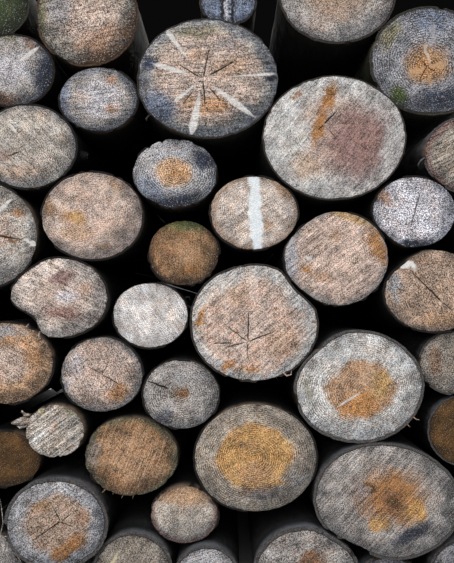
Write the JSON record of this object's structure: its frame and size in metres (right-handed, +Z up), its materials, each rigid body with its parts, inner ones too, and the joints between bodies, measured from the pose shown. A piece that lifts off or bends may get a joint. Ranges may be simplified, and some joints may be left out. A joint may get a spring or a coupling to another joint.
{
  "type": "stack of logs",
  "caption": "Free-standing stack of round sawn roundwood logs, laid parallel in nested courses with the butt ends level at the front.",
  "frame": {"origin": "on the ground, below the middle of the pile's bounding box", "axes": "+Z up, +Y along the logs from the butt ends at the front to the thinner top ends at the back, +X to the right for someone who faces the butt ends"},
  "size_m": [2.1746, 2.4886, 1.3312],
  "materials": {
    "log_01": "sawn end grain, with grey-brown bark on the sides",
    "log_02": "sawn end grain, with grey-brown bark on the sides",
    "log_03": "sawn end grain, with grey-brown bark on the sides",
    "log_04": "sawn end grain, with grey-brown bark on the sides",
    "log_05": "sawn end grain, with grey-brown bark on the sides",
    "log_06": "sawn end grain, with grey-brown bark on the sides",
    "log_07": "sawn end grain, with grey-brown bark on the sides",
    "log_08": "sawn end grain, with grey-brown bark on the sides",
    "log_09": "sawn end grain, with grey-brown bark on the sides",
    "log_10": "sawn end grain, with grey-brown bark on the sides",
    "log_11": "sawn end grain, with grey-brown bark on the sides",
    "log_12": "sawn end grain, with grey-brown bark on the sides",
    "log_13": "sawn end grain, with grey-brown bark on the sides",
    "log_14": "sawn end grain, with grey-brown bark on the sides",
    "log_15": "sawn end grain, with grey-brown bark on the sides",
    "log_16": "sawn end grain, with grey-brown bark on the sides",
    "log_17": "sawn end grain, with grey-brown bark on the sides",
    "log_18": "sawn end grain, with grey-brown bark on the sides",
    "log_19": "sawn end grain, with grey-brown bark on the sides",
    "log_20": "sawn end grain, with grey-brown bark on the sides",
    "log_21": "sawn end grain, with grey-brown bark on the sides",
    "log_22": "sawn end grain, with grey-brown bark on the sides",
    "log_23": "sawn end grain, with grey-brown bark on the sides",
    "log_24": "sawn end grain, with grey-brown bark on the sides",
    "log_25": "sawn end grain, with grey-brown bark on the sides",
    "log_26": "sawn end grain, with grey-brown bark on the sides",
    "log_27": "sawn end grain, with grey-brown bark on the sides",
    "log_28": "sawn end grain, with grey-brown bark on the sides",
    "log_29": "sawn end grain, with grey-brown bark on the sides",
    "log_30": "sawn end grain, with grey-brown bark on the sides",
    "log_31": "sawn end grain, with grey-brown bark on the sides",
    "log_32": "sawn end grain, with grey-brown bark on the sides",
    "log_33": "sawn end grain, with grey-brown bark on the sides",
    "log_34": "sawn end grain, with grey-brown bark on the sides",
    "log_35": "sawn end grain, with grey-brown bark on the sides",
    "log_36": "sawn end grain, with grey-brown bark on the sides",
    "log_37": "sawn end grain, with grey-brown bark on the sides",
    "log_38": "sawn end grain, with grey-brown bark on the sides",
    "log_39": "sawn end grain, with grey-brown bark on the sides",
    "log_40": "sawn end grain, with grey-brown bark on the sides",
    "log_41": "sawn end grain, with grey-brown bark on the sides",
    "log_42": "sawn end grain, with grey-brown bark on the sides",
    "log_43": "sawn end grain, with grey-brown bark on the sides",
    "log_44": "sawn end grain, with grey-brown bark on the sides",
    "log_45": "sawn end grain, with grey-brown bark on the sides",
    "log_46": "sawn end grain, with grey-brown bark on the sides",
    "log_47": "sawn end grain, with grey-brown bark on the sides",
    "log_48": "sawn end grain, with grey-brown bark on the sides",
    "log_49": "sawn end grain, with grey-brown bark on the sides",
    "log_50": "sawn end grain, with grey-brown bark on the sides",
    "log_51": "sawn end grain, with grey-brown bark on the sides",
    "log_52": "sawn end grain, with grey-brown bark on the sides",
    "log_53": "sawn end grain, with grey-brown bark on the sides",
    "log_54": "sawn end grain, with grey-brown bark on the sides",
    "log_55": "sawn end grain, with grey-brown bark on the sides",
    "log_56": "sawn end grain, with grey-brown bark on the sides",
    "log_57": "sawn end grain, with grey-brown bark on the sides",
    "log_58": "sawn end grain, with grey-brown bark on the sides",
    "log_59": "sawn end grain, with grey-brown bark on the sides",
    "log_60": "sawn end grain, with grey-brown bark on the sides"
  },
  "bodies": {
    "root": {"log_01": "log_01", "log_02": "log_02", "log_03": "log_03", "log_04": "log_04", "log_05": "log_05", "log_06": "log_06", "log_07": "log_07", "log_08": "log_08", "log_09": "log_09", "log_10": "log_10", "log_11": "log_11", "log_12": "log_12", "log_13": "log_13", "log_14": "log_14", "log_15": "log_15", "log_16": "log_16", "log_17": "log_17", "log_18": "log_18", "log_19": "log_19", "log_20": "log_20", "log_21": "log_21", "log_22": "log_22", "log_23": "log_23", "log_24": "log_24", "log_25": "log_25", "log_26": "log_26", "log_27": "log_27", "log_28": "log_28", "log_29": "log_29", "log_30": "log_30", "log_31": "log_31", "log_32": "log_32", "log_33": "log_33", "log_34": "log_34", "log_35": "log_35", "log_36": "log_36", "log_37": "log_37", "log_38": "log_38", "log_39": "log_39", "log_40": "log_40", "log_41": "log_41", "log_42": "log_42", "log_43": "log_43", "log_44": "log_44", "log_45": "log_45", "log_46": "log_46", "log_47": "log_47", "log_48": "log_48", "log_49": "log_49", "log_50": "log_50", "log_51": "log_51", "log_52": "log_52", "log_53": "log_53", "log_54": "log_54", "log_55": "log_55", "log_56": "log_56", "log_57": "log_57", "log_58": "log_58", "log_59": "log_59", "log_60": "log_60"}
  },
  "joints": []
}
